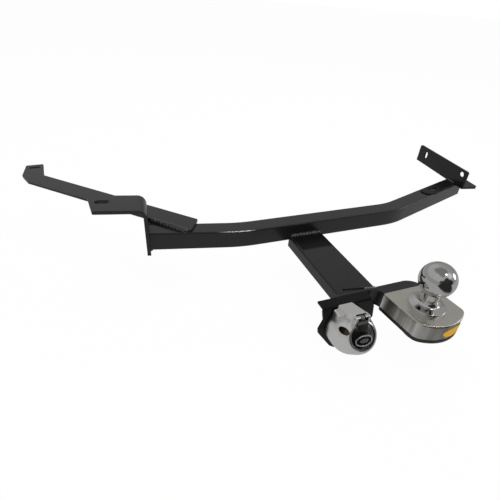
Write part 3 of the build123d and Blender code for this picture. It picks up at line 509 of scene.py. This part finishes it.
rubber = moulded("rubber", 0.012, 0.030, 0.68, 1100.0, 0.00010)
black_plastic = moulded("black_plastic", 0.014, 0.024, 0.42, 1700.0, 0.00006)
brown_plastic = moulded("brown_plastic", 0.14, 0.26, 0.38, 1700.0, 0.00006, 0.40)
print("made", rubber.name, black_plastic.name, brown_plastic.name)

# %% [markdown]
# ## The badge
# The badge is a bare oval of yellow enamel under a clear gloss, a touch deeper in colour toward its rim. The
# clear gloss is the shader's own coat, so it takes two constants and no nodes.


# %% Badge enamel
def enamel(name):
    badge = new_finish(name)
    depth = badge.noise(70.0, 3.0)
    flakes = badge.noise(2600.0, 1.0).ramp(0.6, 0.75)
    rim = badge.edges(0.0016)
    colour = badge.mixed(depth, (0.88, 0.48, 0.008, 1), (0.80, 0.39, 0.005, 1))
    colour = badge.mixed(flakes * 0.15, colour, (0.95, 0.64, 0.05, 1))
    colour = badge.mixed(rim * 0.7, colour, (0.62, 0.30, 0.02, 1))
    normal = badge.bump(depth, 0.00006, badge.rounded(0.0005), 0.4)
    return badge.done(colour, 0.30 + 0.1 * depth, normal, Specular_IOR_Level=0.2, Coat_Weight=0.08,
                      Coat_Roughness=0.10)


badge_yellow = enamel("badge_yellow")
print("made", badge_yellow.name)

# %% [markdown]
# ## Finishes on the frame
# The record gives each CAD node a slot, the name of the finish that it takes. A table from slot to material
# dresses them all at once, and a second one names the nodes whose finish differs from their slot's.

# %% Dress the CAD nodes
finishes = {
    "black_paint": paint,
    "stainless": stainless,
    "chrome": shell_chrome,
    "zinc": zinc,
    "rubber": rubber,
    "black_plastic": black_plastic,
    "brass": brass,
    "badge_yellow": badge_yellow,
}
own_finish = {
    "socket_lid": lid_painted_reflection,
    "lid_emblem": emblem_chrome,
    "socket_insert": brown_plastic,
    "socket_bracket": painted_shade_coat,
    "top_doubler": painted_shade_coat,
    "right_angle": angle_shade_coat,
    "tongue_tube": tongue_paint,
    "cross_beam": beam_paint,
    "ball_arm": arm_edge_highlight_paint,
}
for part in frame["record"]["subparts"]:
    mesh = nodes[part["node"]].data
    mesh.materials.clear()
    mesh.materials.append(own_finish.get(part["node"], finishes[part["material_slot"]]))

# %% [markdown]
# ## New pieces
# A piece that is modelled here is built in a bmesh, which is Blender's editable mesh without an object. All
# the pieces made here belong to the hitch's fixed body; the lid, which turns, is a CAD node.


# %% Finish a new piece
def piece_from(bm, name, material, replaced, sharp=35.0):
    bmesh.ops.remove_doubles(bm, verts=bm.verts, dist=0.000002)
    bmesh.ops.recalc_face_normals(bm, faces=bm.faces)
    mesh = bpy.data.meshes.new(name)
    bm.to_mesh(mesh)
    bm.free()
    mesh.shade_smooth()
    mesh.set_sharp_from_angle(angle=math.radians(sharp))
    mesh.materials.append(material)
    made = bpy.data.objects.new(name, mesh)
    bpy.context.scene.collection.objects.link(made)
    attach(made, "hitch")
    if replaced:
        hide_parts(replaced)
    print(name, len(mesh.polygons), "faces")


print("new pieces become objects at the origin")

# %% [markdown]
# ## The tow ball
# The ball, its neck, its collar and the threaded shank were turned from one bar, so one profile spun about
# the upright axis makes them all. The profile grows from a single vertex: a spin about the ball's centre
# draws the round of the ball, and each later point is reached by extruding the last vertex. The shank's end,
# which shows below the nut, gets the ridges of its thread.

# %% The ball's sizes
ball_low, ball_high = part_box("tow_ball")
ball_radius = ball_high.z
neck_radius = 0.013
neck_fillet = 0.0075
collar_top = -0.0425
collar_foot = -0.0475
collar_radius = 0.026
collar_edge = 0.0014
neck_foot = collar_top + 0.009
shank_radius = 0.011
shank_chamfer = 0.0015
thread_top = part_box("ball_nut")[0].z
thread_pitch = 0.002
thread_depth = 0.0007
print("ball:", round(2000 * ball_radius), "mm, shank down to", round(ball_low.z, 4))


# %% Drawing a profile
def extend(bm, last, radius, height):
    """Extrudes the profile's last vertex to a radius and a height."""
    made = bmesh.ops.extrude_vert_indiv(bm, verts=[last])["verts"][0]
    made.co = Vector((radius, 0, height))
    return made


def arc(bm, last, centre, angle, steps):
    """Carries the profile's last vertex round a centre and gives the new last vertex."""
    spun = bmesh.ops.spin(bm, geom=[last], cent=Vector((centre[0], 0, centre[1])), axis=(0, 1, 0),
                          angle=math.radians(angle), steps=steps)
    return [v for v in spun["geom_last"] if isinstance(v, bmesh.types.BMVert)][0]


print("a profile is drawn with extend and arc")

# %% Tow ball
bm = bmesh.new()
end = bm.verts.new((0, 0, ball_radius))
end = arc(bm, end, (0, 0), 180 - math.degrees(math.asin(neck_radius / ball_radius)), 56)
end = extend(bm, end, neck_radius, neck_foot)
end = arc(bm, end, (neck_radius + neck_fillet, neck_foot), -78, 9)
end = extend(bm, end, collar_radius - collar_edge, collar_top)
end = arc(bm, end, (collar_radius - collar_edge, collar_top - collar_edge), 90, 5)
end = extend(bm, end, collar_radius, collar_foot)
end = extend(bm, end, shank_radius, collar_foot)
end = extend(bm, end, shank_radius, thread_top)
ridge_top = thread_top
while ridge_top - thread_pitch > ball_low.z + shank_chamfer:
    end = extend(bm, end, shank_radius - thread_depth, ridge_top - thread_pitch / 2)
    end = extend(bm, end, shank_radius, ridge_top - thread_pitch)
    ridge_top -= thread_pitch
end = extend(bm, end, shank_radius, ball_low.z + shank_chamfer)
end = extend(bm, end, shank_radius - shank_chamfer, ball_low.z)
extend(bm, end, 0, ball_low.z)
bmesh.ops.spin(bm, geom=bm.verts[:] + bm.edges[:], cent=(0, 0, 0), axis=(0, 0, 1), angle=math.tau, steps=144,
               use_merge=True)
piece_from(bm, "turned_ball", ball_chrome, "tow_ball")

# %% [markdown]
# ## The lid's spring
# A torsion spring closes the lid. It is a wire of three turns round the pin, so a circle is spun about the
# pin's axis while it also moves along it: the spin's step vector turns a ring into a coil. Short straight
# ends finish it.

# %% Lid spring
pin_centre = Vector((-0.105, 0.007, -0.0482))
wire_radius = 0.00055
wire_sides = 12
coil_radius = 0.0029
coil_pitch = 0.00175
coil_turns = 3
coil_steps = 28 * coil_turns
end_length = 2 * wire_radius
bm = bmesh.new()
start = Matrix.Translation(pin_centre + Vector((-coil_turns * coil_pitch / 2, coil_radius, 0)))
bmesh.ops.create_circle(bm, cap_ends=False, segments=wire_sides, radius=wire_radius, matrix=start)
bmesh.ops.spin(bm, geom=bm.verts[:] + bm.edges[:], cent=pin_centre, axis=(1, 0, 0),
               dvec=(coil_turns * coil_pitch / coil_steps, 0, 0), angle=math.tau * coil_turns,
               steps=coil_steps)
for rim, way in ((bm.verts[:wire_sides], -1), (bm.verts[-wire_sides:], 1)):
    ring = [e for e in bm.edges if all(v in rim for v in e.verts)]
    grown = bmesh.ops.extrude_edge_only(bm, edges=ring)["geom"]
    tips = [g for g in grown if isinstance(g, bmesh.types.BMVert)]
    bmesh.ops.translate(bm, verts=tips, vec=(0, 0, way * end_length))
    bmesh.ops.contextual_create(bm, geom=tips)
piece_from(bm, "wound_spring", zinc, "lid_spring")

# %% [markdown]
# ## Weld seams
# The plates are joined by hand, so each seam is a row of small overlapping ripples rather than a clean bar.
# Each ripple is a squashed ball that is set into the corner and leans along the seam. Its size and its rise
# are shares of the seam's leg, and two sines that don't fall in step make them wander a little.


# %% A row of ripples
ripple_pitch = 0.0024
ripple_size = 0.74
ripple_rise = 0.10
ripple_squash = 0.62
ripple_lean = 24.0


def weld_seam(name, start, end, first_side, second_side, leg, replaced, coat=seam_paint):
    """Ripples from start to end, in the corner between two faces that point along the two sides.

    The ends and the leg are in millimetres."""
    bm = bmesh.new()
    start, end = Vector(start) / 1000, Vector(end) / 1000
    first, second = Vector(first_side).normalized(), Vector(second_side).normalized()
    along = (end - start).normalized()
    length = (end - start).length
    leg = leg / 1000
    count = max(int(length / ripple_pitch), 3)
    frame_turn = Matrix((along, first, second)).transposed().to_4x4()
    squash = Matrix.Diagonal((ripple_squash, 1.0, 1.0, 1.0))
    for k in range(count):
        wander = math.sin(k * 2.4) * 0.6 + math.sin(k * 5.1 + 1) * 0.4
        size = leg * (ripple_size + 0.09 * wander)
        share = (k + 0.5) / count
        spot = start + along * length * share + (first + second) * leg * (ripple_rise + 0.03 * wander)
        lean = Matrix.Rotation(math.radians(ripple_lean + 5 * wander), 4, first - second)
        place = Matrix.Translation(spot) @ lean @ frame_turn @ squash
        bmesh.ops.create_uvsphere(bm, u_segments=18, v_segments=10, radius=size, matrix=place)
    piece_from(bm, name, coat, replaced, sharp=60.0)


print("a seam has a ripple each", round(ripple_pitch * 1000, 1), "mm")

# %% [markdown]
# ## Where the seams lie
# Each row of the table gives a seam's two ends in millimetres, the two directions in which its corner opens,
# and the length of its leg. A thin seam that runs across the tongue's end stands for no CAD node: it is laid
# on top, in two lengths. Its dark left length stands for the weld there and for the shade in the gap at the
# tongue's end, a painted shade, and its right length by the corner is painted light, a painted highlight.

# %% Weld seams
seams = {
    "tongue": ((-49, 222.6, -48.8), (-107.5, 222.6, -48.8), (0, -1, 0), (0, 0, 1), 6.8),
    "left_end": ((-349.8, 256.7, -56.6), (-347.1, 283.4, -56.6), (0.995, -0.103, 0), (0, 0, -1), 5.0),
    "hook_bar": ((-290.3, 247.4, -24.6), (-340.5, 296.4, -24.6), (-0.698, -0.716, 0), (0, 0, 1), 7.5),
    "right_angle": ((344.9, 298.1, -22.6), (348.7, 319.7, -22.6), (-0.985, 0.174, 0), (0, 0, 1), 4.0),
    "arm": ((-45.3, 58, -51.8), (-45.3, 58, -67.2), (0, 1, 0), (1, 0, 0), 4.5),
    "bracket": ((-107, 54.6, -51.8), (-77, 54.6, -51.8), (0, -1, 0), (0, 0, -1), 4.0),
}
for place, (start, end, first_side, second_side, leg) in seams.items():
    weld_seam("seam_" + place, start, end, first_side, second_side, leg, "weld_" + place)

thin_left = (-98.5, 65.9, -49.3)
thin_highlight_start = (-64, 59.8, -49.3)
thin_right = (-44, 56.2, -49.3)
forwards = (0.18, 0.98, 0)
upwards = (0, 0, 1)
thin_leg = 2.6
# Painted shade on the dark left length, painted highlight on the light right length.
weld_seam("seam_tongue_end", thin_left, thin_highlight_start, forwards, upwards, thin_leg, None, painted_shade_coat)
weld_seam("seam_tongue_corner", thin_highlight_start, thin_right, forwards, upwards, thin_leg, None, corner_highlight_paint)
print("seams:", len(seams) + 2)

# %% [markdown]
# ## Studio
# The photograph was taken in even light on white. A large soft lamp above lights the tops, and a fainter one
# fills from behind on the right. Neither shows in reflections, because polished metal takes its look from
# what stands round it, and that is painted into the world instead.


# %% Lamps
def soft_lamp(name, place, target, size, power):
    data = bpy.data.lights.new(name, "AREA")
    data.shape = "RECTANGLE"
    data.size, data.size_y = size
    data.energy = power
    lamp = bpy.data.objects.new(name, data)
    lamp.location = place
    lamp.rotation_euler = (Vector(target) - Vector(place)).to_track_quat("-Z", "Y").to_euler()
    lamp.visible_glossy = False
    bpy.context.scene.collection.objects.link(lamp)


soft_lamp("overhead", (-0.2, 0.1, 1.9), (0, 0.2, 0), (1.6, 1.6), 22.0)
soft_lamp("right_back", (1.2, 2.0, 1.5), (0.0, 0.2, 0), (1.6, 0.8), 10.0)

# %% [markdown]
# ## What the metal reflects
# The world's colour depends on the direction and on the kind of ray. A camera ray sees white. A diffuse ray
# gets an even level. A glossy ray sees a room: pale walls, a dimmer ceiling, a dark side behind the camera
# with an uneven border, and three lamps. A dot product with a direction tells how near a ray points to it.

# %% World
even_level = 0.62
room = Network(bpy.data.worlds.new("studio"), "Generated", "ShaderNodeOutputWorld")
bpy.context.scene.world = room.block
across = room.axis("X")
height = room.axis("Z")
border = room.noise(2.4, 3.0)
walls = (0.44 + 0.12 * room.noise(1.6, 1.0)) * (1.0 - 0.2 * across.ramp(0.2, 0.6))
walls = walls * (0.75 + 0.25 * height.ramp(0.30, 0.46))
ceiling = (height + 0.5 * (border - 0.5)).ramp(0.80, 0.95)
behind = room.aligned((0.06, -0.99, 0.0))
dark_side = (behind + 0.40 * (border - 0.5)).ramp(0.72, 0.80)
front_lamp = room.aligned((0.235, -0.43, 0.872)).ramp(0.9962, 0.9985) * 10.0
socket_lamp = room.aligned((0.54, -0.5, 0.67)).ramp(0.95, 0.995) * 0.4
side_lamp = room.aligned((0.916, -0.311, 0.274)).ramp(0.975, 0.99) * 2.5
seen = walls * (1.0 - 0.5 * ceiling) * (1.0 - 0.92 * dark_side) + front_lamp + socket_lamp + side_lamp
strength = even_level + (1.0 - even_level) * room.shown() + room.ray("Glossy") * (seen - even_level)
room.surface(room.node("ShaderNodeBackground", {}, {"Color": (1, 1, 1, 1), "Strength": strength}))
bpy.context.scene.view_settings.view_transform = "Standard"
print("world: white to the camera,", even_level, "to diffuse rays, a painted room to glossy rays")

# %% [markdown]
# ## The floor
# The floor is a plain pale sheet that lies just under the lowest point and runs to the horizon. To the
# camera it is as white as the background, so no line shows where they meet, and a little of its lit surface
# is mixed in for a faint shadow. A glossy ray sees a dimmer sheet with a dark place on the camera's side of
# the ball, which together with the dark side of the room makes the dark spot in the ball.

# %% Floor
floor_gap = 0.004
floor_reach = 150.0
floor_height = cad_box[0].z - floor_gap
bm = bmesh.new()
bmesh.ops.create_grid(bm, x_segments=2, y_segments=2, size=floor_reach,
                      matrix=Matrix.Translation((0, 0, floor_height)))
floor_mesh = bpy.data.meshes.new("floor")
bm.to_mesh(floor_mesh)
bm.free()
floor = bpy.data.objects.new("floor", floor_mesh)
bpy.context.scene.collection.objects.link(floor)
print("floor at", round(floor_height, 4))

# %% Floor finish
pale = new_finish("pale_floor")
lit = pale.node("ShaderNodeBsdfDiffuse", {}, {"Color": (0.80, 0.80, 0.80, 1)})
white = pale.node("ShaderNodeEmission", {}, {"Color": (1, 1, 1, 1), "Strength": 1.0})
across = pale.axis("X")
depth = pale.axis("Y")
in_front = (0.67 * across - 0.74 * depth + 0.08 * (pale.noise(9.0, 2.0) - 0.5)).ramp(0.12, 0.22)
in_front = in_front * (1.0 - (across + 0.62 * depth).ramp(0.03, 0.14))
reflected = pale.mixed(in_front, grey(0.46), grey(0.03))
dim = pale.node("ShaderNodeEmission", {}, {"Color": reflected, "Strength": 1.0})
both = pale.node("ShaderNodeMixShader", {}, {0: pale.shown() * 0.97, 1: lit, 2: white})
both = pale.node("ShaderNodeMixShader", {}, {0: pale.ray("Glossy"), 1: both, 2: dim})
floor_mesh.materials.append(pale.surface(both))
print("made", floor_mesh.materials[0].name)
